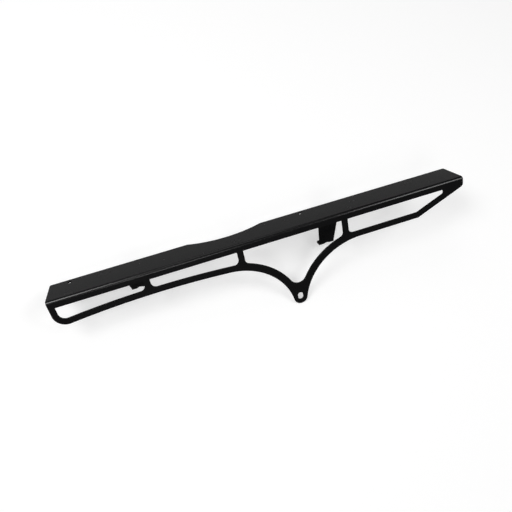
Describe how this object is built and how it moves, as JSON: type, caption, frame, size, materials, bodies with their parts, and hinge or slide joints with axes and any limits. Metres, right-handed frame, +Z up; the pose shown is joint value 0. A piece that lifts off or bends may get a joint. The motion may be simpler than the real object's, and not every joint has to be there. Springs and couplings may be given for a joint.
{
  "type": "motorcycle chain guard",
  "caption": "Folded sheet steel motorcycle chain guard with a cut-out side, a slotted lug and two welded feet.",
  "frame": {"origin": "centre of the lug's bolt slot, on the outer face of the side plate", "axes": "+X along the fold towards the raked end, +Y inboard from the outer face of the side plate, +Z up to the top plate, as it sits over the chain"},
  "size_m": [0.563, 0.0565, 0.116],
  "materials": {
    "powder_coat": "semi-matt black powder coat"
  },
  "bodies": {
    "root": {"guard": "powder_coat", "long_bracket": "powder_coat", "short_bracket": "powder_coat"}
  },
  "joints": []
}
